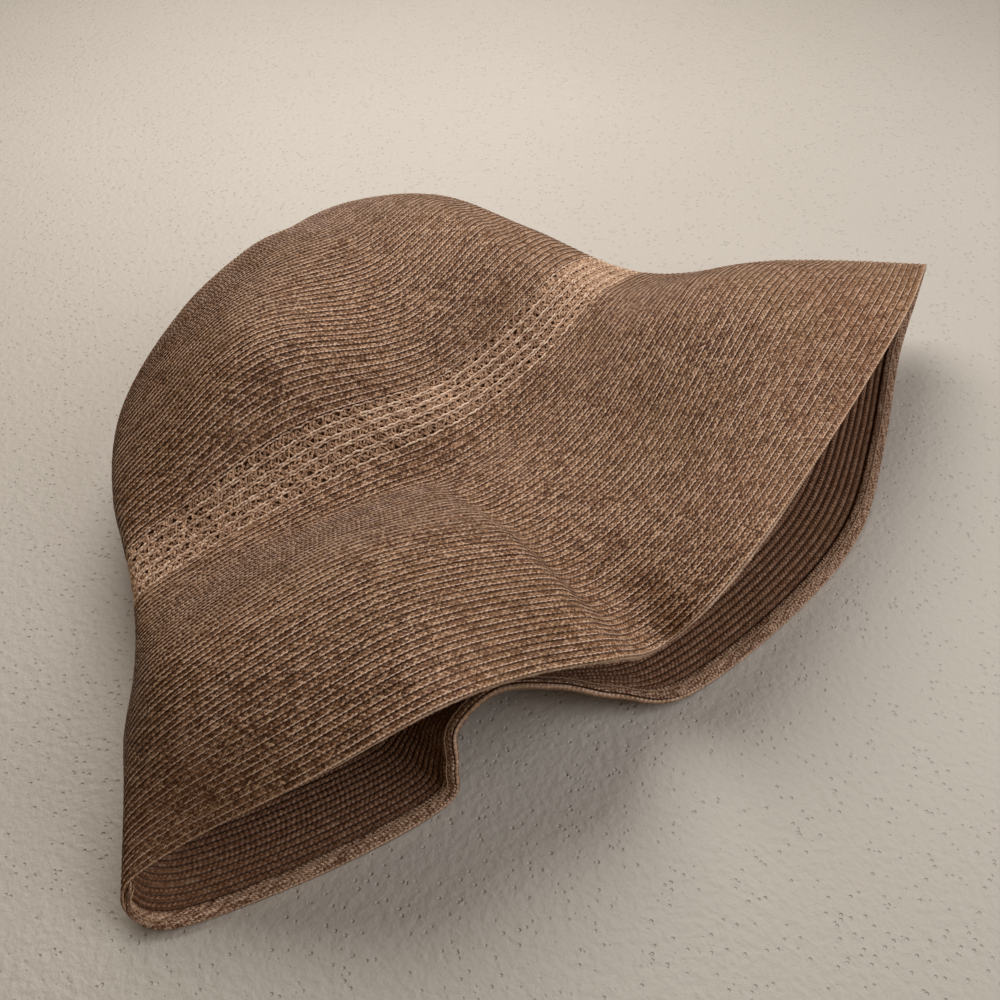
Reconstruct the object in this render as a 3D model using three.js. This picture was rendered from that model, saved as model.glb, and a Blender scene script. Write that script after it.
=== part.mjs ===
// A sun hat of sewn straw braid, lying collapsed on its side.
// Millimetres, +Z up. The crown's tip points to +Y, the brim opens to -Y and the table is at Z = 0.
// The whole hat is one bent sheet. A point on it has two coordinates: u, the fraction of the way
// round (0 at the right end, 0.25 on top, 0.5 at the left end, 0.75 on the table side), and s, the
// distance from the crown's tip towards the brim's edge. Every piece is a strip of that sheet.
import * as THREE from 'three';

// Driving dimensions
const TIP_END = 9;                // s where the button coil ends
const TIP_ROWS_END = 60;          // s where the rows of the tip end and the crown starts to turn
const TURN_ROWS_END = 115;        // s where the turned rows end and the side starts
const LACE_START = 173;           // s where the openwork courses begin
const CROWN_BASE = 195;           // s at the head opening
const INNER_ROWS_END = 237;       // s after the first third of the brim
const MIDDLE_ROWS_END = 273;      // s after the second third
const BRIM_EDGE = 321;            // s at the brim's edge
const LACE_COURSES = 5;
const BRAID_THICKNESS = 2;        // two overlapping layers of braid
const FACING_WIDTH = 5.6;         // the extra braid under the brim's edge
const FACING_THICKNESS = 1;
const RIBBON_WIDTH = 25;          // grosgrain sweatband
const RIBBON_THICKNESS = 0.8;
const THREAD = 0.5;               // side of a line of stitching
const GAP = 0.3;                  // clearance between neighbouring pieces

// Middle of the footprint, which becomes the origin
const FOOTPRINT = new THREE.Vector3(18.4, -13.2, 0);

// Sections of the bent sheet, each a closed outline from the right end over the top
const TIP = [28, 126, 40];
const TURN_RING = [
  [110, 94, 40], [100, 87, 55], [89, 80, 66], [59, 67, 82], [27, 63, 82], [0, 70, 81], [-17, 76, 77],
  [-34, 80, 71], [-55, 86, 58], [-72, 95, 36], [-64, 96, 16], [-32, 94, 2], [10, 90, 0], [50, 88, 0],
  [84, 90, 2], [110, 97, 18],
];
const WALL_RING = [
  [122, 44, 42], [104, 36, 61], [80, 25, 74], [57, 15, 84], [20, 12, 75], [-3, 16, 74], [-38, 27, 83],
  [-59, 34, 78], [-85, 40, 61], [-107, 51, 38], [-100, 50, 18], [-66, 44, 2], [-20, 38, 0], [35, 36, 0],
  [85, 38, 1], [118, 46, 16],
];
const BASE_RING = [
  [142, -2, 35], [103, -13, 54], [82, -19, 59], [49, -24, 54], [18, -24, 49], [-12, -24, 51],
  [-44, -14, 49], [-78, -5, 45], [-105, 1, 41], [-130, 6, 34], [-124, 4, 18], [-90, -4, 3],
  [-40, -14, 0], [20, -17, 0], [80, -10, 1], [122, 2, 14],
];
const MIDDLE_RING = [
  [189, -43, 37], [179, -49, 45], [148, -56, 61], [99, -72, 77], [41, -82, 51], [7, -83, 42],
  [-23, -80, 43], [-40, -76, 59], [-87, -59, 68], [-144, -46, 59], [-162, -36, 36], [-162, -37, 12],
  [-120, -50, 1], [-60, -68, 0], [20, -82, 0], [100, -76, 0], [158, -56, 8], [184, -44, 26],
];
const EDGE_RING = [
  [231, -95, 34], [224, -98, 43], [176, -114, 52], [104, -130, 53], [31, -143, 54], [-3, -143, 42],
  [-19, -136, 27], [-46, -137, 48], [-73, -124, 54], [-104, -116, 61], [-139, -98, 44], [-172, -75, 22],
  [-192, -68, 12], [-193, -75, 2], [-180, -87, 0], [-140, -104, 0], [-101, -115, 2], [-91, -111, 10],
  [-85, -106, 20], [-70, -110, 28], [-50, -119, 18], [-35, -131, 9], [-13, -147, 3], [48, -153, 0],
  [100, -149, 1], [150, -130, 5], [192, -110, 15], [224, -98, 25],
];
const TURN_AT = 92;
const WALL_AT = 145;
const MIDDLE_AT = 258;
const STATIONS = [0, TURN_AT, WALL_AT, CROWN_BASE, MIDDLE_AT, BRIM_EDGE];   // s of the tip and of each outline
const TIP_AXIS = new THREE.Vector3(0.1, 0.97, 0).normalize();
const TIP_FULLNESS = 1.25;        // how flat the tip is before it turns

// The pinch under the openwork and the roll above it: s, half-width, first u, last u, lift
const FOLDS = [[208, 9, 0.08, 0.47, -4], [187, 9, 0.16, 0.44, 2.5]];

// How many columns each stretch of the way round gets; the tight folds get more
const COLUMNS = [[0, 0.04, 4], [0.04, 0.24, 12], [0.24, 0.32, 10], [0.32, 0.44, 7], [0.44, 0.72, 36], [0.72, 0.96, 12], [0.96, 1, 4]];
const AROUND = COLUMNS.flatMap(([from, to, count]) =>
  Array.from({ length: count }, (_, i) => from + (to - from) * i / count));

// The bent sheet

function outline(points) {
  const curve = new THREE.CatmullRomCurve3(points.map((p) => new THREE.Vector3(...p)), true, 'catmullrom', 0.5);
  curve.arcLengthDivisions = 1500;
  return curve;
}

const OUTLINES = [TURN_RING, WALL_RING, BASE_RING, MIDDLE_RING, EDGE_RING].map(outline);
const tip = new THREE.Vector3(...TIP);

/** The section points and their slopes along the meridian at u. */
function meridian(u) {
  const points = [tip, ...OUTLINES.map((curve) => curve.getPointAt(((u % 1) + 1) % 1))];
  const steps = STATIONS.slice(1).map((s, i) => s - STATIONS[i]);
  const chords = steps.map((step, i) => points[i + 1].clone().sub(points[i]).divideScalar(step));
  const radial = points[1].clone().sub(tip);
  radial.addScaledVector(TIP_AXIS, -radial.dot(TIP_AXIS)).multiplyScalar(TIP_FULLNESS / steps[0]);
  const slopes = [radial];
  for (let i = 1; i < points.length - 1; i++) {
    const total = steps[i - 1] + steps[i];
    slopes.push(chords[i - 1].clone().multiplyScalar(steps[i] / total).addScaledVector(chords[i], steps[i - 1] / total));
  }
  const last = chords.length;
  slopes.push(chords[last - 1].clone().multiplyScalar(1.5).addScaledVector(slopes[last - 1], -0.5));
  return { points, slopes, steps };
}

/** The outer face of the sheet at (u, s). */
function sheet(u, s, line = meridian(u)) {
  let i = 0;
  while (i < line.steps.length - 1 && s > STATIONS[i + 1]) i++;
  const t = (s - STATIONS[i]) / line.steps[i];
  const t2 = t * t;
  const t3 = t2 * t;
  const p = line.points[i].clone().multiplyScalar(2 * t3 - 3 * t2 + 1);
  p.addScaledVector(line.slopes[i], (t3 - 2 * t2 + t) * line.steps[i]);
  p.addScaledVector(line.points[i + 1], 3 * t2 - 2 * t3);
  p.addScaledVector(line.slopes[i + 1], (t3 - t2) * line.steps[i]);
  for (const [at, width, from, to, lift] of FOLDS) {
    const along = THREE.MathUtils.clamp((u - from) / (to - from), 0, 1);
    p.z += lift * Math.exp(-(((s - at) / width) ** 2)) * Math.sin(Math.PI * along) ** 2;
  }
  p.z = Math.max(p.z, 0);
  return p.sub(FOOTPRINT);
}

/** The sheet's outward direction at (u, s). */
function outward(u, s) {
  const du = 0.002;
  const ds = 4;
  const across = sheet(u + du, s).sub(sheet(u - du, s));
  const along = sheet(u, Math.min(s + ds, BRIM_EDGE)).sub(sheet(u, Math.max(s - ds, 0)));
  return across.cross(along).normalize();
}

/** A point a given depth inside the sheet's outer face. */
function inside(u, s, depth) {
  return sheet(u, s).addScaledVector(outward(u, s), -depth);
}

// Solids

function solid(vertices, faces) {
  const geometry = new THREE.BufferGeometry();
  geometry.setAttribute('position', new THREE.Float32BufferAttribute(vertices.flatMap((v) => v.toArray()), 3));
  geometry.setIndex(faces.flat());
  geometry.computeVertexNormals();
  return geometry;
}

/**
 * Joins closed loops of points into a ring: each loop is one way round, the last joins the first.
 * The second half of the loops is the inner face, cut along the same diagonals as the outer one.
 */
function ringOfLoops(loops) {
  const count = loops[0].length;
  const faces = [];
  for (let i = 0; i < loops.length; i++) {
    const next = (i + 1) % loops.length;
    for (let j = 0; j < count; j++) {
      const k = (j + 1) % count;
      const [a, b, c, d] = [i * count + j, i * count + k, next * count + k, next * count + j];
      if (i < loops.length / 2) faces.push([a, b, c], [a, c, d]);
      else faces.push([a, b, d], [b, c, d]);
    }
  }
  return solid(loops.flat(), faces);
}

function evenly(from, to, rows) {
  return Array.from({ length: rows + 1 }, (_, i) => from + (to - from) * i / rows);
}

/** A strip of the sheet through the given values of s, between two depths, the whole way round. */
function strip(stations, depth, thickness) {
  const outer = stations.map((s) => AROUND.map((u) => inside(u, s, depth)));
  const inner = stations.map((s) => AROUND.map((u) => inside(u, s, depth + thickness))).reverse();
  return ringOfLoops([...outer, ...inner]);
}

/** The first turns of the braid at the tip, a small coil with no hole. */
function button(to, thickness) {
  const centre = [0, thickness].map((depth) => tip.clone().sub(FOOTPRINT).addScaledVector(TIP_AXIS, -depth));
  const rims = [0, thickness].map((depth) => AROUND.map((u) => inside(u, to, depth)));
  const count = AROUND.length;
  const faces = [];
  for (let j = 0; j < count; j++) {
    const k = (j + 1) % count;
    faces.push([0, 2 + k, 2 + j], [1, 2 + count + j, 2 + count + k]);
    faces.push([2 + j, 2 + k, 2 + count + j], [2 + k, 2 + count + k, 2 + count + j]);
  }
  return solid([...centre, ...rims[0], ...rims[1]], faces);
}

/** A small patch of the sheet between two values of u, such as a label. */
function patch(fromU, toU, fromS, toS, depth, thickness, columns, rows) {
  const vertices = [];
  const at = (layer, i, j) => (layer * (rows + 1) + i) * (columns + 1) + j;
  for (const d of [depth, depth + thickness]) {
    for (let i = 0; i <= rows; i++) {
      for (let j = 0; j <= columns; j++) {
        vertices.push(inside(fromU + (toU - fromU) * j / columns, fromS + (toS - fromS) * i / rows, d));
      }
    }
  }
  const faces = [];
  const quad = (a, b, c, d) => faces.push([a, c, b], [a, d, c]);
  for (let i = 0; i < rows; i++) {
    for (let j = 0; j < columns; j++) {
      quad(at(0, i, j), at(0, i + 1, j), at(0, i + 1, j + 1), at(0, i, j + 1));
      quad(at(1, i, j), at(1, i, j + 1), at(1, i + 1, j + 1), at(1, i + 1, j));
    }
  }
  for (let j = 0; j < columns; j++) {
    quad(at(0, 0, j), at(0, 0, j + 1), at(1, 0, j + 1), at(1, 0, j));
    quad(at(0, rows, j), at(1, rows, j), at(1, rows, j + 1), at(0, rows, j + 1));
  }
  for (let i = 0; i < rows; i++) {
    quad(at(0, i, 0), at(1, i, 0), at(1, i + 1, 0), at(0, i + 1, 0));
    quad(at(0, i, columns), at(0, i + 1, columns), at(1, i + 1, columns), at(1, i, columns));
  }
  return solid(vertices, faces);
}

// The hat

const hat = new THREE.Group();

function add(name, geometry, color, roughness) {
  const mesh = new THREE.Mesh(geometry, new THREE.MeshStandardMaterial({ color, roughness, metalness: 0 }));
  mesh.name = name;
  hat.add(mesh);
}

const STRAW = 0x7d6049;
const LACE = 0x937560;
const FACING = 0x8f7059;
const RIBBON = 0x3c2a20;
const SEWING = 0xa98b72;
const LABEL = 0xcbb9a2;

add('crown_button', button(TIP_END, BRAID_THICKNESS), STRAW, 0.7);
const ribbonTop = CROWN_BASE - RIBBON_WIDTH;
const facingFrom = BRIM_EDGE - FACING_WIDTH;
for (const [name, stations] of [
  ['crown_tip_braid', evenly(TIP_END + GAP, TIP_ROWS_END, 3)],
  ['crown_turn_braid', evenly(TIP_ROWS_END + GAP, TURN_ROWS_END, 3)],
  ['crown_side_braid', [...evenly(TURN_ROWS_END + GAP, ribbonTop, 3), LACE_START]],
  ['brim_inner_braid', evenly(CROWN_BASE + GAP, INNER_ROWS_END, 3)],
  ['brim_middle_braid', evenly(INNER_ROWS_END + GAP, MIDDLE_ROWS_END, 3)],
  ['brim_outer_braid', [...evenly(MIDDLE_ROWS_END + GAP, facingFrom, 3), BRIM_EDGE]],
]) {
  add(name, strip(stations, 0, BRAID_THICKNESS), STRAW, 0.7);
}

const coursePitch = (CROWN_BASE - LACE_START) / LACE_COURSES;
for (let i = 0; i < LACE_COURSES; i++) {
  const from = LACE_START + i * coursePitch + GAP;
  add(`lace_course_${i + 1}`, strip([from, from + coursePitch - GAP], 0, BRAID_THICKNESS), LACE, 0.65);
}

const underBraid = BRAID_THICKNESS + GAP;
add('edge_facing_braid', strip([facingFrom, BRIM_EDGE], underBraid, FACING_THICKNESS), FACING, 0.7);

add('sweatband', strip(evenly(ribbonTop, CROWN_BASE, 6), underBraid, RIBBON_THICKNESS), RIBBON, 0.85);

const underRibbon = underBraid + RIBBON_THICKNESS + GAP;
const seamAt = CROWN_BASE - 2;
add('sweatband_seam_thread', strip([seamAt - THREAD, seamAt], underRibbon, THREAD), SEWING, 0.6);

const underFacing = underBraid + FACING_THICKNESS + GAP;
const facingSeamAt = BRIM_EDGE - FACING_WIDTH / 2;
add('facing_seam_thread', strip([facingSeamAt - THREAD, facingSeamAt], underFacing, THREAD), SEWING, 0.6);

add('sweatband_join_tab', patch(0.775, 0.795, ribbonTop - 2, seamAt - 2, underRibbon, 0.8, 3, 3), RIBBON, 0.85);
add('blank_label', patch(0.69, 0.755, ribbonTop + 3, seamAt - 4, underRibbon, 0.5, 8, 3), LABEL, 0.8);

export default hat;
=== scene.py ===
"""A collapsed sun hat of sewn straw braid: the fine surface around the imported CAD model."""

import math

import bpy
import numpy as np
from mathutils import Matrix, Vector


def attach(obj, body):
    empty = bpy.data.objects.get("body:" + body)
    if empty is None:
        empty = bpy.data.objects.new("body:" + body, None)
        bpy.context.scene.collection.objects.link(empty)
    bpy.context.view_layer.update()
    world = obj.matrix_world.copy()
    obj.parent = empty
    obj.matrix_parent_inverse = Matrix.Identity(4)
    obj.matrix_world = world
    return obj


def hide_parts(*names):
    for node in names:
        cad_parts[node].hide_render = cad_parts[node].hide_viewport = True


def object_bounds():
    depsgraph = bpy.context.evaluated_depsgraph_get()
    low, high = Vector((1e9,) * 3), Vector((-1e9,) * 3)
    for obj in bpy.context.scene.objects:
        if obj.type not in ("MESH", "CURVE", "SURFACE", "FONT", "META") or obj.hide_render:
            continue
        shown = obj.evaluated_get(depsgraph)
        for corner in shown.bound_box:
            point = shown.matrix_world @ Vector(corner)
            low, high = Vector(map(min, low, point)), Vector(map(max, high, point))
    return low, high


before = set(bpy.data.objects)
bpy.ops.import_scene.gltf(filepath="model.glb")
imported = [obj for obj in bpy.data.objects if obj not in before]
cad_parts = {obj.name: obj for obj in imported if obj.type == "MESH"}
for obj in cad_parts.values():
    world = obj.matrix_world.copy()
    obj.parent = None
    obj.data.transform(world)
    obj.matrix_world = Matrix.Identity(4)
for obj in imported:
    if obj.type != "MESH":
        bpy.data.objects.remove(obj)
cad_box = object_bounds()

# ---------------------------------------------------------------- sizes, in millimetres
MM = 0.001
TIP_END = 9                # s where the button coil ends
LACE_START = 173           # s where the openwork courses begin
CROWN_BASE = 195           # s at the head opening
BRIM_EDGE = 321            # s at the brim's edge
TIP_ROWS_END = 60          # s between the strips of sewn rows, as in the CAD model
TURN_ROWS_END = 115
INNER_ROWS_END = 237
MIDDLE_ROWS_END = 273
LACE_COURSES = 5
LACE_EDGE_CORDS = 2        # the first cords of each course run along its edges
BRAID_THICKNESS = 2.0
FACING_WIDTH = 5.6
FACING_THICKNESS = 1.0
FACING_INSET = 0.1         # how far its outer border stays inside the brim's edge
RIBBON_WIDTH = 25
RIBBON_THICKNESS = 0.8
LABEL_THICKNESS = 0.5
JOIN_TAB_U = (0.775, 0.795)    # from u and to u of the tab and the label, side by side in the band
LABEL_U = (0.69, 0.755)
THREAD = 0.5
SWEATBAND_STITCH = 3.0
FACING_STITCH = 3.4
FACING_COLUMNS = 900       # about how many columns of quads go round each strip
RIBBON_COLUMNS = 480
GAP = 0.3

LACE_PITCH = (CROWN_BASE - LACE_START) / LACE_COURSES
LACE_MARGIN = 0.06         # how near the border of its course a strand's middle comes, in courses
ZIGZAG_LENGTH = 4.0        # mm along a course from one bend of a crossing strand to the next like it
UPPER_CORD = 0.38          # radii of the openwork's cords and strands
LOWER_CORD = 0.44
CROSSING_STRAND = 0.42

# ---------------------------------------------------------------- the bent sheet
# u is the fraction of the way round, from the right end over the top; s is the distance from the
# crown's tip. The outlines are the sheet's sections, as in the CAD model.
FOOTPRINT = np.array([18.4, -13.2, 0])
TIP = np.array([28, 126, 40.0])
TIP_AXIS = np.array([0.1, 0.97, 0]) / math.hypot(0.1, 0.97)
TIP_FULLNESS = 1.25
TURN_RING = [
    (110, 94, 40), (100, 87, 55), (89, 80, 66), (59, 67, 82), (27, 63, 82), (0, 70, 81), (-17, 76, 77),
    (-34, 80, 71), (-55, 86, 58), (-72, 95, 36), (-64, 96, 16), (-32, 94, 2), (10, 90, 0), (50, 88, 0),
    (84, 90, 2), (110, 97, 18),
]
WALL_RING = [
    (122, 44, 42), (104, 36, 61), (80, 25, 74), (57, 15, 84), (20, 12, 75), (-3, 16, 74), (-38, 27, 83),
    (-59, 34, 78), (-85, 40, 61), (-107, 51, 38), (-100, 50, 18), (-66, 44, 2), (-20, 38, 0),
    (35, 36, 0), (85, 38, 1), (118, 46, 16),
]
BASE_RING = [
    (142, -2, 35), (103, -13, 54), (82, -19, 59), (49, -24, 54), (18, -24, 49), (-12, -24, 51),
    (-44, -14, 49), (-78, -5, 45), (-105, 1, 41), (-130, 6, 34), (-124, 4, 18), (-90, -4, 3),
    (-40, -14, 0), (20, -17, 0), (80, -10, 1), (122, 2, 14),
]
MIDDLE_RING = [
    (189, -43, 37), (179, -49, 45), (148, -56, 61), (99, -72, 77), (41, -82, 51), (7, -83, 42),
    (-23, -80, 43), (-40, -76, 59), (-87, -59, 68), (-144, -46, 59), (-162, -36, 36), (-162, -37, 12),
    (-120, -50, 1), (-60, -68, 0), (20, -82, 0), (100, -76, 0), (158, -56, 8), (184, -44, 26),
]
EDGE_RING = [
    (231, -95, 34), (224, -98, 43), (176, -114, 52), (104, -130, 53), (31, -143, 54), (-3, -143, 42),
    (-19, -136, 27), (-46, -137, 48), (-73, -124, 54), (-104, -116, 61), (-139, -98, 44),
    (-172, -75, 22), (-192, -68, 12), (-193, -75, 2), (-180, -87, 0), (-140, -104, 0), (-101, -115, 2),
    (-91, -111, 10), (-85, -106, 20), (-70, -110, 28), (-50, -119, 18), (-35, -131, 9), (-13, -147, 3),
    (48, -153, 0), (100, -149, 1), (150, -130, 5), (192, -110, 15), (224, -98, 25),
]
STATIONS = np.array([0, 92, 145, CROWN_BASE, 258, BRIM_EDGE], float)
# The soft creases beside the openwork: s, their width along s, from u, to u, and how far they lift.
FOLDS = [(208, 9, 0.08, 0.47, -4), (187, 9, 0.16, 0.44, 2.5)]


def outline(points, steps=60):
    """A closed Catmull-Rom curve through the points, as a table of length and place."""
    p = np.array(points, float)
    before, after, beyond = np.roll(p, 1, 0), np.roll(p, -1, 0), np.roll(p, -2, 0)
    t = (np.arange(steps) / steps)[None, :, None]
    p, before, after, beyond = (q[:, None, :] for q in (p, before, after, beyond))
    start, end = (after - before) / 2, (beyond - p) / 2
    curve = (2 * p - 2 * after + start + end) * t**3
    curve = curve + (3 * after - 3 * p - 2 * start - end) * t**2 + start * t + p
    curve = curve.reshape(-1, 3)
    curve = np.vstack([curve, curve[:1]])
    length = np.concatenate([[0], np.cumsum(np.linalg.norm(np.diff(curve, axis=0), axis=1))])
    return length, curve


OUTLINES = [outline(ring) for ring in (TURN_RING, WALL_RING, BASE_RING, MIDDLE_RING, EDGE_RING)]


def sheet(u, s):
    """Points on the outer face of the sheet for every s (rows) and u (columns), in millimetres."""
    u, s = np.atleast_1d(u), np.atleast_1d(s)
    points = [np.repeat(TIP[None], len(u), 0)]
    for length, curve in OUTLINES:
        at = (u % 1) * length[-1]
        points.append(np.stack([np.interp(at, length, curve[:, c]) for c in range(3)], -1))
    steps = np.diff(STATIONS)
    chords = [(points[i + 1] - points[i]) / steps[i] for i in range(len(steps))]
    radial = points[1] - TIP
    radial = radial - (radial @ TIP_AXIS)[:, None] * TIP_AXIS
    slopes = [radial * TIP_FULLNESS / steps[0]]
    for i in range(1, len(steps)):
        slopes.append((chords[i - 1] * steps[i] + chords[i] * steps[i - 1]) / (steps[i - 1] + steps[i]))
    slopes.append(1.5 * chords[-1] - 0.5 * slopes[-1])
    points, slopes = np.array(points), np.array(slopes)
    i = np.clip(np.searchsorted(STATIONS, s, side="left") - 1, 0, len(steps) - 1)
    step = steps[i][:, None, None]
    t = ((s - STATIONS[i]) / steps[i])[:, None, None]
    p = (2 * t**3 - 3 * t**2 + 1) * points[i] + (t**3 - 2 * t**2 + t) * step * slopes[i]
    p = p + (3 * t**2 - 2 * t**3) * points[i + 1] + (t**3 - t**2) * step * slopes[i + 1]
    for at, width, first, last, lift in FOLDS:
        along = np.sin(math.pi * np.clip((u % 1 - first) / (last - first), 0, 1)) ** 2
        p[..., 2] += lift * np.exp(-(((s - at) / width) ** 2))[:, None] * along[None]
    p[..., 2] = np.maximum(p[..., 2], 0)
    return p - FOOTPRINT


def outward(u, s):
    """The sheet's outward direction for every s and u."""
    du, ds = 0.002, 4.0
    across = sheet(u + du, s) - sheet(u - du, s)
    along = sheet(u, np.minimum(s + ds, BRIM_EDGE)) - sheet(u, np.maximum(s - ds, 0))
    normal = np.cross(across, along)
    return normal / np.linalg.norm(normal, axis=-1, keepdims=True)


def inside(u, s, depth):
    """Points at a depth inside the sheet's outer face; depth is a number, a column or a grid."""
    depth = np.asarray(depth, float)
    if depth.ndim == 1:
        depth = depth[:, None]
    return sheet(u, s) - outward(u, s) * np.broadcast_to(depth, (len(s), len(u)))[..., None]


# How close together the columns stand in each stretch of u, where 1 is the average.
COLUMN_WEIGHTS = [
    (0, 0.04, 1.2), (0.04, 0.24, 0.8), (0.24, 0.32, 1.1), (0.32, 0.44, 0.8), (0.44, 0.72, 1.4),
    (0.72, 0.96, 0.7), (0.96, 1, 1.2),
]


def columns(count):
    """About that many values of u, closer together where the sheet bends tightly."""
    parts = []
    for first, last, weight in COLUMN_WEIGHTS:
        parts.append(np.linspace(first, last, round(count * (last - first) * weight), endpoint=False))
    return np.concatenate(parts)


def way_round(s):
    """The length of the sheet's rows at each s, in millimetres."""
    steps = 360
    p = sheet(np.linspace(0, 1, steps + 1), s)
    return np.linalg.norm(np.diff(p, axis=1), axis=2).sum(1)


# ---------------------------------------------------------------- materials
# The braid uv counts the rows of each strip from a round number of its own, its seed times this, so
# that no two strips have the same pattern. The last row of the brim is a little lighter.
STRIP_ROWS = 100
BRIM_SEED = 6
BRIM_OUTER_ROWS = 19
BRIM_LAST_ROW = STRIP_ROWS * BRIM_SEED + BRIM_OUTER_ROWS
STRAND_PITCH = 1.7         # mm along a row from one strand of the plait to the next
STRAND_SLANT = 1.7         # how many strands a strand leans over from one side of its row to the other
DASHES_PER_MM = 0.24       # along the painted highlight at each row's free edge
FACING_PITCH = 1.4
FACING_SLANT = 2.6
RIB_PITCH = 0.8            # mm from rib to rib of the grosgrain


class Graph:
    """A material's node tree, written as short calls that return sockets."""

    def __init__(self, name):
        self.material = bpy.data.materials.new(name)
        self.material.use_nodes = True
        self.tree = self.material.node_tree
        self.shader = self.tree.nodes["Principled BSDF"]

    def node(self, kind, **settings):
        made = self.tree.nodes.new(kind)
        for key, value in settings.items():
            setattr(made, key, value)
        return made

    def feed(self, socket, value):
        if isinstance(value, bpy.types.NodeSocket):
            self.tree.links.new(value, socket)
        else:
            socket.default_value = value

    def math(self, operation, *values):
        made = self.node("ShaderNodeMath", operation=operation)
        for socket, value in zip(made.inputs, values):
            self.feed(socket, value)
        return made.outputs[0]

    def add(self, a, b):
        return self.math("ADD", a, b)

    def times(self, a, b):
        return self.math("MULTIPLY", a, b)

    def ramp(self, value, low, high):
        """0 where value is low, 1 where it is high, smooth between them."""
        made = self.node("ShaderNodeMapRange", interpolation_type="SMOOTHSTEP")
        for socket, v in zip(made.inputs, (value, low, high, 0.0, 1.0)):
            self.feed(socket, v)
        return made.outputs[0]

    def vector(self, x, y, z=0.0):
        made = self.node("ShaderNodeCombineXYZ")
        for socket, value in zip(made.inputs, (x, y, z)):
            self.feed(socket, value)
        return made.outputs[0]

    def random(self, x, y, z=0.0):
        """A random number for each whole-number cell."""
        made = self.node("ShaderNodeTexWhiteNoise")
        self.feed(made.inputs["Vector"], self.vector(x, y, z))
        return made.outputs["Value"]

    def noise(self, where, scale, detail=2.0):
        made = self.node("ShaderNodeTexNoise")
        self.feed(made.inputs["Vector"], where)
        made.inputs["Scale"].default_value = scale
        made.inputs["Detail"].default_value = detail
        return made.outputs["Fac"]

    def mix(self, factor, a, b, blend="MIX"):
        made = self.node("ShaderNodeMix", data_type="RGBA", blend_type=blend)
        self.feed(made.inputs["Factor"], factor)
        self.feed(made.inputs["A"], a)
        self.feed(made.inputs["B"], b)
        return made.outputs["Result"]

    def place(self):
        return self.node("ShaderNodeTexCoord").outputs["Object"]

    def uv(self):
        """The two coordinates of the braid: millimetres along the row, and rows across it."""
        split = self.node("ShaderNodeSeparateXYZ")
        self.tree.links.new(self.node("ShaderNodeUVMap", uv_map="braid").outputs[0], split.inputs[0])
        return split.outputs["X"], split.outputs["Y"]

    def finish(self, color, height, millimetres, roughness):
        self.feed(self.shader.inputs["Base Color"], color)
        self.feed(self.shader.inputs["Roughness"], roughness)
        self.shader.inputs["Specular IOR Level"].default_value = 0.35
        bump = self.node("ShaderNodeBump")
        bump.inputs["Strength"].default_value = 1.0
        bump.inputs["Distance"].default_value = millimetres * MM
        self.feed(bump.inputs["Height"], height)
        self.feed(self.shader.inputs["Normal"], bump.outputs[0])
        return self.material


def rgb(red, green, blue):
    """A colour given in sRGB bytes, as the shader's linear colour."""

    def linear(byte):
        c = byte / 255
        return c / 12.92 if c <= 0.04045 else ((c + 0.055) / 1.055) ** 2.4

    return linear(red), linear(green), linear(blue), 1.0


STRAW_LIGHT = rgb(232, 194, 162)
STRAW_MIDDLE = rgb(166, 123, 89)
STRAW_DARK = rgb(100, 62, 34)
# Hues of the straw's sheen, painted in large patches.
OLIVE_SHEEN = rgb(146, 117, 74)
REDDISH_SHEEN = rgb(150, 98, 70)
# The underside's own tone, darkened by painted shade.
UNDERSIDE_TONE_AND_SHADE = rgb(136, 94, 70)
# A pale colour: the painted highlight along each row's free edge, and the facing's pale flecks.
HIGHLIGHT_AND_PALE_FLECK = rgb(252, 218, 196)
# Painted shade for the gaps between the strands and the grooves between the rows.
CREVICE_SHADE = rgb(66, 38, 22)


def plait(g, x, y, width, slant):
    """Flat strands plaited over and under each other, lying askew in each row.

    Returns the height of the strand on top, its random tone, how deep the gap at a crossing is, which masks
    the painted shade in the gaps, the place across the row, and the row.
    """
    row = g.math("FLOOR", y)
    f = g.math("FRACT", y)
    along = g.add(g.times(x, 1 / width), g.times(g.random(row, 3.0), 7.0))
    lean = g.times(f, slant)
    lines = [g.add(along, lean), g.math("SUBTRACT", along, lean)]
    cells = [g.math("FLOOR", line) for line in lines]
    heights = [g.math("ABSOLUTE", g.math("SINE", g.times(line, math.pi))) for line in lines]
    over = g.math("PINGPONG", g.add(*cells), 1.0)
    under = g.math("SUBTRACT", 1.0, over)
    tones = [g.random(cell, row, z) for cell, z in zip(cells, (1.0, 2.0))]
    tone = g.add(g.times(tones[0], over), g.times(tones[1], under))
    height = g.add(g.times(heights[0], over), g.times(heights[1], under))
    gap = g.math("SUBTRACT", 1.0, g.ramp(g.math("MAXIMUM", *heights), 0.35, 0.8))
    return height, tone, gap, f, row


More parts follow.
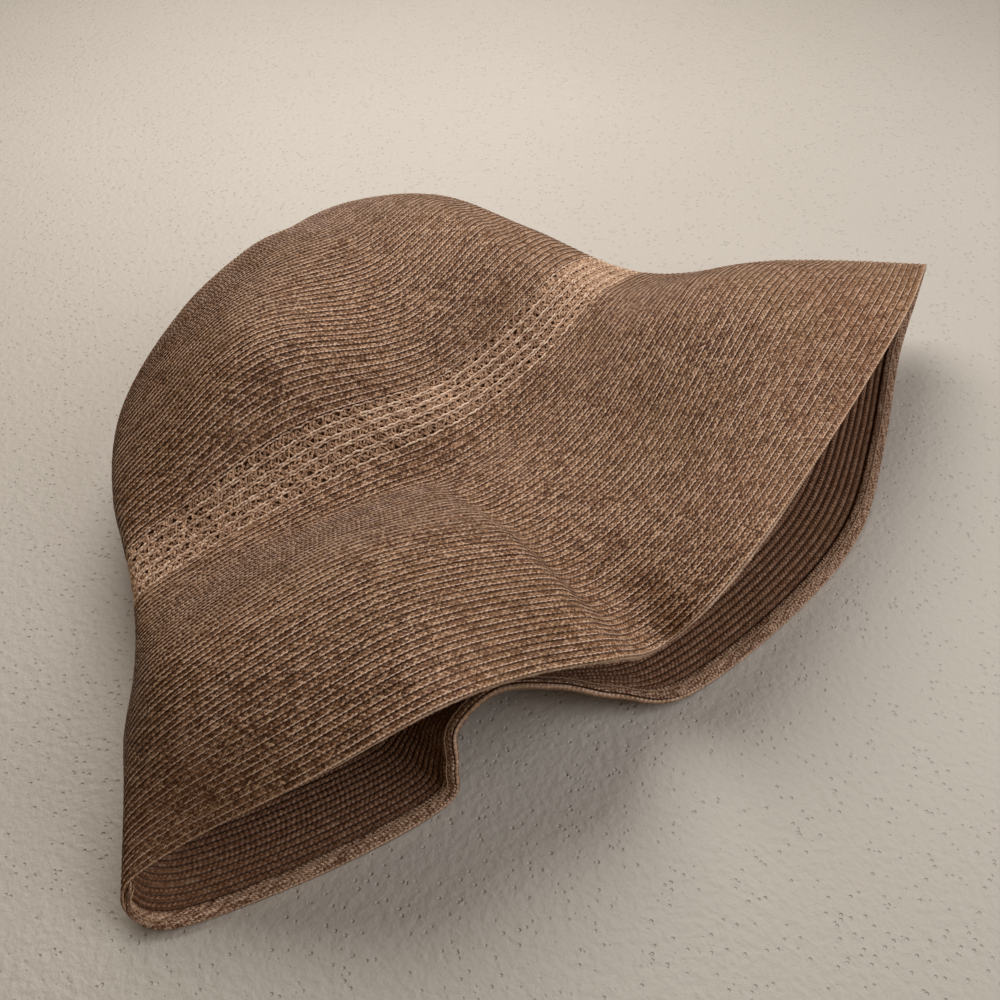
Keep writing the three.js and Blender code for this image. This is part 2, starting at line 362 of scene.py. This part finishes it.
def straw_material():
    """Sewn braid: plaited strands, a broken painted highlight along each row, and painted shade in a thin
    groove and the gaps.
    """
    g = Graph("straw_braid")
    x, y = g.uv()
    back = g.math("LESS_THAN", y, 0.0)
    front = g.math("SUBTRACT", 1.0, back)
    y = g.math("ABSOLUTE", y)
    height, tone, gap, f, row = plait(g, x, y, STRAND_PITCH, STRAND_SLANT)
    where = g.place()
    fleck = g.noise(where, 850.0, 3.0)
    color = g.mix(g.ramp(tone, 0.05, 0.65), STRAW_DARK, STRAW_MIDDLE)
    color = g.mix(g.times(g.ramp(tone, 0.76, 0.95), 0.6), color, STRAW_LIGHT)
    color = g.mix(g.times(g.ramp(fleck, 0.55, 0.64), 0.8), color, STRAW_LIGHT)
    color = g.mix(g.times(g.ramp(fleck, 0.46, 0.36), 0.75), color, STRAW_DARK)
    # the underside: a tone of its own, darkened further as painted shade, since the pockets show it in shade
    color = g.mix(g.times(back, 0.6), color, UNDERSIDE_TONE_AND_SHADE)
    # painted sheen: large patches of olive and of reddish hue
    color = g.mix(g.times(g.ramp(g.noise(where, 17.0), 0.48, 0.7), 0.2), color, OLIVE_SHEEN)
    color = g.mix(g.times(g.ramp(g.noise(where, 11.0), 0.52, 0.72), 0.3), color, REDDISH_SHEEN)
    # the free edge of each row: a painted highlight, broken into dashes
    line = g.times(g.ramp(f, 0.72, 0.79), g.math("SUBTRACT", 1.0, g.ramp(f, 0.85, 0.92)))
    stretch = g.math("FLOOR", g.add(g.times(x, DASHES_PER_MM), g.times(g.random(row, 5.0), 9.0)))
    dash = g.random(stretch, row, 7.0)
    line = g.times(line, g.add(0.15, g.times(g.ramp(dash, 0.25, 0.65), 0.75)))
    line = g.times(line, front)
    color = g.mix(line, color, HIGHLIGHT_AND_PALE_FLECK)
    color = g.mix(g.times(g.ramp(y, BRIM_LAST_ROW - 0.5, BRIM_LAST_ROW - 0.2), 0.45), color, STRAW_LIGHT)
    # painted shade in the strands' gaps and in the groove beside the next row; the underside's groove is
    # mid-row and darker
    depth = g.random(g.math("FLOOR", g.times(x, 0.55)), row, 11.0)
    gap = g.times(gap, g.math("SUBTRACT", 1.0, g.times(back, 0.85)))
    color = g.mix(g.times(gap, g.add(0.35, g.times(depth, 0.65))), color, CREVICE_SHADE)
    centre = g.math("ABSOLUTE", g.math("SUBTRACT", f, 0.5))
    near = g.add(g.times(back, g.times(centre, 0.8)), g.times(front, g.math("SUBTRACT", 0.5, centre)))
    groove = g.math("SUBTRACT", 1.0, g.ramp(near, 0.02, 0.14))
    color = g.mix(g.times(groove, g.add(0.6, g.times(back, 0.35))), color, CREVICE_SHADE)
    height = g.add(g.add(height, g.times(line, 0.6)), g.times(fleck, 0.8))
    return g.finish(color, height, 0.28, 0.48)


def lace_material():
    """The openwork's strands: the cords along the courses are lighter than the strands that cross."""
    g = Graph("lace_braid")
    x, y = g.uv()
    where = g.place()
    strand = g.random(g.math("FLOOR", g.times(x, 0.35)), y)
    tone = g.add(g.times(strand, 0.5), g.times(g.noise(where, 900.0), 0.5))
    crossing = g.mix(g.ramp(tone, 0.2, 0.8), rgb(140, 104, 78), rgb(224, 186, 154))
    along = g.mix(g.ramp(tone, 0.2, 0.8), rgb(184, 146, 118), rgb(255, 226, 200))
    color = g.mix(g.math("LESS_THAN", y, LACE_EDGE_CORDS), crossing, along)
    fibre = g.add(g.math("SINE", g.times(x, 4.0)), g.noise(where, 2500.0))
    return g.finish(color, fibre, 0.08, 0.5)


def facing_material():
    """One full braid under the edge: a fine crosswise herringbone."""
    g = Graph("facing_braid")
    x, y = g.uv()
    height, tone, gap, *_ = plait(g, x, y, FACING_PITCH, FACING_SLANT)
    color = g.mix(g.ramp(tone, 0.15, 0.85), rgb(136, 96, 70), rgb(226, 188, 158))
    # painted shade in the gaps between the strands
    color = g.mix(g.times(gap, 0.75), color, STRAW_DARK)
    fleck = g.noise(g.place(), 1000.0, 3.0)
    color = g.mix(g.times(g.ramp(fleck, 0.54, 0.64), 0.6), color, HIGHLIGHT_AND_PALE_FLECK)
    color = g.mix(g.times(g.ramp(fleck, 0.46, 0.36), 0.5), color, STRAW_DARK)
    return g.finish(color, g.add(height, g.times(fleck, 1.6)), 0.35, 0.55)


def ribbon_material():
    """Grosgrain: fine crosswise ribs."""
    g = Graph("grosgrain")
    x, _ = g.uv()
    rib = g.math("SINE", g.times(x, 2 * math.pi / RIB_PITCH))
    color = g.mix(g.noise(g.place(), 40.0), rgb(134, 98, 72), rgb(160, 122, 92))
    return g.finish(color, rib, 0.15, 0.8)


def thread_material():
    """Sewing thread: a fine twist."""
    g = Graph("sewing_thread")
    x, y = g.uv()
    twist = g.math("SINE", g.add(g.times(x, 8.0), g.times(y, 6.0)))
    color = g.mix(g.noise(g.place(), 60.0), rgb(168, 134, 104), rgb(206, 174, 144))
    return g.finish(color, twist, 0.06, 0.5)


def label_material():
    """Woven tape: a fine plain weave."""
    g = Graph("label_tape")
    x, y = g.uv()
    weave = g.times(g.math("SINE", g.times(x, 14.0)), g.math("SINE", g.times(y, 14.0)))
    color = g.mix(g.noise(g.place(), 50.0), rgb(200, 184, 160), rgb(216, 202, 182))
    return g.finish(color, weave, 0.06, 0.7)


def floor_material():
    """A pale table top with a fine leathery grain."""
    g = Graph("pale_floor")
    where = g.place()
    color = g.mix(g.noise(where, 4.0, 3.0), rgb(200, 195, 186), rgb(213, 209, 202))
    grain = g.noise(where, 330.0, 3.0)
    cells = g.node("ShaderNodeTexVoronoi")
    g.feed(cells.inputs["Vector"], where)
    cells.inputs["Scale"].default_value = 330.0
    pits = g.times(g.ramp(cells.outputs["Distance"], 0.24, 0.1), g.ramp(g.noise(where, 90.0), 0.38, 0.5))
    height = g.math("SUBTRACT", g.times(grain, 1.7), pits)
    return g.finish(color, height, 0.35, 0.5)


STRAW = straw_material()
LACE = lace_material()
FACING = facing_material()
RIBBON = ribbon_material()
SEWING = thread_material()
LABEL = label_material()

# ---------------------------------------------------------------- meshes


def mesh_piece(name, points, faces, uvs, material, slot, *replaced):
    """Makes a piece from points in millimetres, quads, and one uv per corner of each quad."""
    mesh = bpy.data.meshes.new(name)
    points, faces = np.asarray(points, np.float32) * MM, np.asarray(faces, np.int32)
    mesh.vertices.add(len(points))
    mesh.vertices.foreach_set("co", points.ravel())
    mesh.loops.add(faces.size)
    mesh.loops.foreach_set("vertex_index", faces.ravel())
    mesh.polygons.add(len(faces))
    mesh.polygons.foreach_set("loop_start", np.arange(0, faces.size, 4, dtype=np.int32))
    mesh.update(calc_edges=True)
    mesh.uv_layers.new(name="braid").data.foreach_set("uv", np.asarray(uvs, np.float32).ravel())
    mesh.polygons.foreach_set("use_smooth", np.ones(len(faces), bool))
    mesh.materials.append(material)
    mesh.validate()
    piece = bpy.data.objects.new(name, mesh)
    bpy.context.scene.collection.objects.link(piece)
    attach(piece, "root")
    if replaced:
        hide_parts(*replaced)
    return piece


def cut(from_s, to_s):
    """Works out how long the sheet's rows are at nine places from from_s to to_s, and keeps nothing."""
    rows = np.linspace(from_s, to_s, 9)
    around = way_round(rows)


def ring_grid(loops, u, xs, ys, ends=()):
    """Quads and uvs for closed loops joined into a closed tube. xs is each loop's length, ys its row.

    Each of ends is (band, from row, to row): the rows that a band of quads shows instead of its own.
    """
    count, across = loops.shape[:2]
    i, j = np.meshgrid(np.arange(count), np.arange(across), indexing="ij")
    k, n = (i + 1) % count, (j + 1) % across
    faces = np.stack([i * across + j, i * across + n, k * across + n, k * across + j], -1).reshape(-1, 4)
    left, right = u[j], np.append(u, 1.0)[j + 1]
    shown = np.stack([ys[:-1], ys[1:]])
    for band, from_row, to_row in ends:
        shown[:, band] = from_row, to_row
    row, following = (rows[:, None] * np.ones_like(left) for rows in shown)
    left, right = left * xs[:, None], right * xs[:, None]
    uvs = np.stack([left, row, right, row, right, following, left, following], -1)
    return faces, uvs.reshape(-1, 4, 2)


# Across a row, as a fraction of its width, with the depth of the outer face there in millimetres:
# each row rises gently from under the one before and ends in a raised free edge.
OUTER_PROFILE = [(0.0, 0.62), (0.1, 0.42), (0.45, 0.24), (0.8, 0.0), (0.93, 0.08)]
# The underside's rows are round like cords; this is how far they fall short of the full thickness.
INNER_PROFILE = [(0.0, 0.0), (0.28, 0.22), (0.5, 0.9), (0.72, 0.22)]
ROW_SWELL = 0.1            # mm that the slow waves along a row move its face
# Where a row's painted highlight lies across the row: the cut edge of a strip shows it.
EDGE_HIGHLIGHT_BAND = (0.72, 0.82)


def braid_rows(name, from_s, to_s, rows, count, seed, *sewn_on):
    """A strip of sewn rows of braid, with about count columns round."""
    rng = np.random.default_rng(seed)
    u = columns(count)
    pitch = (to_s - from_s) / rows

    def wander():
        """Slow waves along each row, so that no two rows lie quite alike."""
        waves = rng.integers(5, 60, (rows, 4))
        shift = rng.uniform(0, 1, (rows, 4))
        return np.sin(2 * math.pi * (waves[:, :, None] * u + shift[:, :, None])).mean(1)

    def face(profile):
        """Where each loop lies, counted in rows, and its depth: the rows' starts and ends stay level."""
        fractions = np.array([f for f, _ in profile])
        depths = np.array([d for _, d in profile])
        at = np.append((np.arange(rows)[:, None] + fractions).ravel(), rows)
        swell = ROW_SWELL * (fractions > 0)[None, :, None] * wander()[:, None, :]
        depths = (depths[None, :, None] + swell).reshape(-1, len(u))
        return at, np.maximum(np.vstack([depths, depths[:1]]), 0.0)

    outer_at, outer_depth = face(OUTER_PROFILE)
    inner_at, inner_short = face(INNER_PROFILE)
    outer = inside(u, from_s + outer_at * pitch, outer_depth)
    inner = inside(u, from_s + inner_at * pitch, BRAID_THICKNESS - inner_short)
    loops = np.concatenate([outer, inner[::-1]])
    row = np.minimum(np.floor(np.append(outer_at, inner_at[::-1])), rows - 1)
    first = STRIP_ROWS * seed
    ys = np.concatenate([first + outer_at, -(first + inner_at[::-1]), [first]])
    last = first + rows - 1
    cut_edge = (len(outer_at) - 1, last + EDGE_HIGHLIGHT_BAND[0], last + EDGE_HIGHLIGHT_BAND[1])
    faces, uvs = ring_grid(loops, u, way_round(from_s + (row + 0.5) * pitch), ys, [cut_edge])
    piece = mesh_piece(name + "_rows", loops.reshape(-1, 3), faces, uvs, STRAW, "straw_braid", name)
    cut(from_s, to_s)


def strip(name, s, outer, inner, count, material, slot, *replaced):
    """A smooth closed strip through the stations s, between two depths that may vary along s.

    Its uv's second coordinate stays just inside one row, so that the strip shows one whole row.
    """
    margin = 0.01
    u = columns(count)
    s = np.asarray(s, float)
    loops = np.concatenate([inside(u, s, outer), inside(u, s[::-1], np.asarray(inner)[::-1])])
    around = np.concatenate([s, s[::-1]])
    across = np.concatenate([np.arange(len(s)), np.arange(len(s))[::-1]]) / (len(s) - 1)
    across = np.append(across, across[0]) * (1 - 2 * margin) + margin
    faces, uvs = ring_grid(loops, u, way_round(around), across)
    return mesh_piece(name, loops.reshape(-1, 3), faces, uvs, material, slot, *replaced)


def rounded(loops, thickness, share, power):
    """Places across a strip, and how far its two faces draw together there to round its edges off."""
    across = np.linspace(0, 1, loops)
    return across, thickness * share * np.abs(2 * across - 1) ** power


def button():
    """The first turns of the braid: a closed disc with three raised turns."""
    turns, loops_per_turn = 3, 6
    wave = 0.3
    u = columns(96)
    fractions = np.linspace(0.02, 1, loops_per_turn * turns + 1)
    s = TIP_END * fractions
    depth = wave - wave * np.cos(2 * math.pi * fractions * turns)
    outer, inner = inside(u, s, depth), inside(u, s[::-1], np.full(len(s), BRAID_THICKNESS))
    loops = np.concatenate([outer, inner])
    around = np.concatenate([s, s[::-1]])
    rows = np.concatenate([fractions * turns, -fractions[::-1] * turns])
    faces, uvs = ring_grid(loops, u, way_round(around), np.append(rows, rows[0]))
    return mesh_piece("crown_button_coil", loops.reshape(-1, 3), faces, uvs, STRAW, "straw_braid",
                      "crown_button")


# A little off upright, so that it never lies along a cord.
NEARLY_UP = np.array([0.013, 0.02, 1.0])


def cords(paths, radii, sides=5):
    """Round cords along closed paths, each an array of points in millimetres, joined into one mesh."""
    points, faces, uvs, total = [], [], [], 0
    for number, (path, radius) in enumerate(zip(paths, radii)):
        ahead = np.roll(path, -1, 0) - np.roll(path, 1, 0)
        ahead /= np.linalg.norm(ahead, axis=1, keepdims=True)
        side = np.cross(ahead, NEARLY_UP)
        side /= np.linalg.norm(side, axis=1, keepdims=True)
        up = np.cross(side, ahead)
        turn = 2 * math.pi * np.arange(sides) / sides
        ring = np.cos(turn)[:, None, None] * side + np.sin(turn)[:, None, None] * up
        loops = path[None] + ring * radius
        m = len(path)
        i, j = np.meshgrid(np.arange(sides), np.arange(m), indexing="ij")
        k, n = (i + 1) % sides, (j + 1) % m
        faces.append(np.stack([i * m + j, i * m + n, k * m + n, k * m + j], -1).reshape(-1, 4) + total)
        step = np.linalg.norm(path - np.roll(path, 1, 0), axis=1).mean()
        left, row = j * step, np.full(j.shape, number + 0.5)
        uvs.append(np.stack([left, row, left + step, row, left + step, row, left, row], -1).reshape(-1, 4, 2))
        points.append(loops.reshape(-1, 3))
        total += loops.shape[0] * loops.shape[1]
    return np.concatenate(points), np.concatenate(faces), np.concatenate(uvs)


def lace_course(number):
    """One course of openwork: a light cord along each side and three strands crossing between them."""
    start = LACE_START + number * LACE_PITCH
    samples = 10
    zigzags = int(round(way_round([start])[0] / ZIGZAG_LENGTH))
    rng = np.random.default_rng(40 + number)
    u = np.arange(zigzags * samples) / (zigzags * samples)

    def wander(amount, waves=(20, 140)):
        """Uneven slow waves along the course."""
        turns = rng.integers(*waves, 6)
        return amount * np.sin(2 * math.pi * (turns[:, None] * u + rng.uniform(0, 1, (6, 1)))).sum(0) / 2

    turn = 2 * math.pi * (u * zigzags + 0.37 * number) + wander(0.9)
    lines, radii = [], []

    def line(at, depth, radius):
        """A strand: at is its place across the course, from 0 to 1."""
        s = start + np.clip(at, LACE_MARGIN, 1 - LACE_MARGIN) * LACE_PITCH
        depth = np.clip(depth, radius, BRAID_THICKNESS - radius)
        lines.append(sheet_at(u, s) - outward_at(u, s) * depth[:, None])
        radii.append(radius)

    line(0.1 + 0.04 * np.sin(turn) + wander(0.025), 0.6 + 0.15 * np.cos(turn), UPPER_CORD)
    line(0.9 + 0.04 * np.sin(turn + 2) + wander(0.02), 0.45 + 0.1 * np.cos(turn), LOWER_CORD)
    for shift in (0, math.pi, 4.4):
        bent = turn + shift + wander(0.7, (60, 260))
        wave = np.arcsin(0.92 * np.sin(bent)) * 2 / math.pi
        place, depth = 0.5 + 0.37 * wave + wander(0.06), 1.0 + 0.4 * np.sin(2 * bent) + wander(0.12)
        line(place, depth, CROSSING_STRAND)
    points, faces, uvs = cords(lines, radii)
    name = f"lace_course_{number + 1}"
    return mesh_piece(name + "_strands", points, faces, uvs, LACE, "lace_braid", name)


def sheet_at(u, s):
    """Points on the sheet for pairs of u and s, by interpolation between close rows."""
    grid = np.linspace(s.min(), s.max() + 1e-6, 12)
    table = sheet(u, grid)
    return between_rows(table, grid, s)


def outward_at(u, s):
    """The outward direction for pairs of u and s."""
    grid = np.linspace(s.min(), s.max() + 1e-6, 4)
    found = between_rows(outward(u, grid), grid, s)
    return found / np.linalg.norm(found, axis=1, keepdims=True)


def between_rows(table, grid, s):
    """For each column of a table of rows, what lies at that column's own s."""
    i = np.clip(np.searchsorted(grid, s) - 1, 0, len(grid) - 2)
    t = ((s - grid[i]) / (grid[i + 1] - grid[i]))[:, None]
    j = np.arange(len(s))
    return table[i, j] * (1 - t) + table[i + 1, j] * t


def stitches(name, s_at, depth, spacing, replaced):
    """A line of machine stitches: a thread that rises over the cloth and dips back into each hole."""
    count = int(round(way_round([s_at])[0] / spacing))
    samples = 8
    lowest, lift, radius = 0.1 * THREAD, 0.5 * THREAD, 0.38 * THREAD
    u = np.arange(count * samples) / (count * samples)
    rise = np.abs(np.sin(math.pi * u * count)) ** 0.5
    s = np.full_like(u, s_at - THREAD / 2)
    path = sheet_at(u, s) - outward_at(u, s) * (depth + lowest + lift * rise)[:, None]
    points, faces, uvs = cords([path], [radius], sides=6)
    return mesh_piece(name, points, faces, uvs, SEWING, "sewing_thread", replaced)


def patch(name, from_u, to_u, from_s, to_s, depth, thickness, material, slot, replaced, under):
    """A small flat piece on the inside of the sheet, with rounded edges."""
    across, rows = 40, 16
    u = np.linspace(from_u, to_u, across)
    s = np.linspace(from_s, to_s, rows)
    edge = np.minimum.outer(np.minimum(np.arange(rows), np.arange(rows)[::-1]),
                            np.minimum(np.arange(across), np.arange(across)[::-1]))
    soft = np.where(edge == 0, 0.5, 0.0) * thickness
    near = inside(u, s, depth + soft)
    far = inside(u, s, depth + thickness - soft * 0.6)
    points = np.concatenate([near.reshape(-1, 3), far.reshape(-1, 3)])
    i, j = np.meshgrid(np.arange(rows - 1), np.arange(across - 1), indexing="ij")
    corner = (i * across + j).reshape(-1, 1)
    quad = corner + np.array([0, 1, across + 1, across])
    lower = rows * across
    border = [(0, b) for b in range(across)] + [(a, across - 1) for a in range(1, rows)]
    border += [(rows - 1, b) for b in range(across - 2, -1, -1)] + [(a, 0) for a in range(rows - 2, 0, -1)]
    rim = np.array([a * across + b for a, b in border])
    after = np.roll(rim, -1)
    sides = np.stack([rim, rim + lower, after + lower, after], -1)
    faces = np.concatenate([quad, quad[:, ::-1] + lower, sides])
    uv_width, uv_length = 30, 15
    where = np.meshgrid(np.linspace(0, uv_width, across), np.linspace(0, uv_length, rows))
    where = np.stack(where, -1).reshape(-1, 2)
    piece = mesh_piece(name, points, faces, np.tile(where, (2, 1))[faces], material, slot, replaced)
    wide = way_round([(from_s + to_s) / 2])[0] * (to_u - from_u)


# ---------------------------------------------------------------- the pieces
coil = button()
# each strip: its CAD node, from s, to s, how many rows, how many columns round, and its seed
braid_rows("crown_tip_braid", TIP_END, TIP_ROWS_END, 20, 440, 1)
braid_rows("crown_turn_braid", TIP_ROWS_END, TURN_ROWS_END, 22, 460, 2)
lace = [lace_course(course) for course in range(LACE_COURSES)]
braid_rows("crown_side_braid", TURN_ROWS_END, LACE_START, 23, 460, 3, *lace)
braid_rows("brim_inner_braid", CROWN_BASE, INNER_ROWS_END, 17, 600, 4)
braid_rows("brim_middle_braid", INNER_ROWS_END, MIDDLE_ROWS_END, 14, 680, 5)

under_braid = BRAID_THICKNESS + GAP
facing_from = BRIM_EDGE - FACING_WIDTH
facing_to = BRIM_EDGE - FACING_INSET
across, round_off = rounded(13, FACING_THICKNESS, 0.45, 3)
facing = strip("edge_facing", facing_from + (facing_to - facing_from) * across, under_braid + round_off,
               under_braid + FACING_THICKNESS - round_off, FACING_COLUMNS, FACING, "facing_braid",
               "edge_facing_braid")

ribbon_top = CROWN_BASE - RIBBON_WIDTH
across, round_off = rounded(25, RIBBON_THICKNESS, 0.4, 16)
ribbon = strip("sweatband_ribbon", ribbon_top + RIBBON_WIDTH * across, under_braid + round_off,
               under_braid + RIBBON_THICKNESS - round_off, RIBBON_COLUMNS, RIBBON, "grosgrain",
               "sweatband")

seam_at = CROWN_BASE - 2
under_ribbon = under_braid + RIBBON_THICKNESS + GAP
ribbon_seam = stitches("sweatband_stitches", seam_at, under_ribbon, SWEATBAND_STITCH,
                       "sweatband_seam_thread")
under_facing = under_braid + FACING_THICKNESS + GAP
facing_seam = stitches("facing_stitches", BRIM_EDGE - FACING_WIDTH / 2, under_facing, FACING_STITCH,
                       "facing_seam_thread")
braid_rows("brim_outer_braid", MIDDLE_ROWS_END, BRIM_EDGE, BRIM_OUTER_ROWS, 570, BRIM_SEED, facing,
           facing_seam)
cut(ribbon_top, CROWN_BASE)
patch("join_tab", *JOIN_TAB_U, ribbon_top - 2, seam_at - 2, under_ribbon, RIBBON_THICKNESS, RIBBON,
      "grosgrain", "sweatband_join_tab", ribbon)
patch("label", *LABEL_U, ribbon_top + 3, seam_at - 4, under_ribbon, LABEL_THICKNESS, LABEL, "label_tape",
      "blank_label", ribbon)

# ---------------------------------------------------------------- floor, light and camera


def floor():
    """A wide pale table top under the hat."""
    mesh = bpy.data.meshes.new("floor")
    half = 4.0
    low = cad_box[0][2]
    corners = [(-half, -half, low), (half, -half, low), (half, half, low), (-half, half, low)]
    mesh.from_pydata(corners, [], [(0, 1, 2, 3)])
    mesh.materials.append(floor_material())
    made = bpy.data.objects.new("floor", mesh)
    bpy.context.scene.collection.objects.link(made)


def area_light(name, where, size, power, color):
    """A round soft light that looks at the middle of the hat's footprint."""
    light = bpy.data.lights.new(name, "AREA")
    light.shape = "DISK"
    light.size = size
    light.energy = power
    light.color = color
    made = bpy.data.objects.new(name, light)
    made.location = where
    made.rotation_euler = (-Vector(where)).to_track_quat("-Z", "Y").to_euler()
    bpy.context.scene.collection.objects.link(made)


def camera():
    """The photographer's place: above the brim's open side, looking down at 45 degrees."""
    data = bpy.data.cameras.new("camera")
    data.lens = 43.2
    data.sensor_width = 36.0
    made = bpy.data.objects.new("camera", data)
    made.location = (-0.2590, -0.2548, 0.350)
    bearing, pitch = math.radians(42.89), math.radians(45)
    level = math.cos(pitch)
    ahead = Vector((math.cos(bearing) * level, math.sin(bearing) * level, -math.sin(pitch)))
    made.rotation_euler = ahead.to_track_quat("-Z", "Y").to_euler()
    bpy.context.scene.collection.objects.link(made)
    bpy.context.scene.camera = made


floor()
area_light("lamp", (0.25, 0.35, 0.60), 0.6, 4.4, (1.0, 0.95, 0.90))
area_light("window", (0.38, -0.72, 0.58), 1.0, 4.7, (0.97, 0.97, 1.0))
world = bpy.data.worlds.new("room")
world.use_nodes = True
world.node_tree.nodes["Background"].inputs["Color"].default_value = (1.0, 0.74, 0.46, 1)
world.node_tree.nodes["Background"].inputs["Strength"].default_value = 0.135
bpy.context.scene.world = world
camera()
bpy.context.scene.view_settings.view_transform = "Standard"
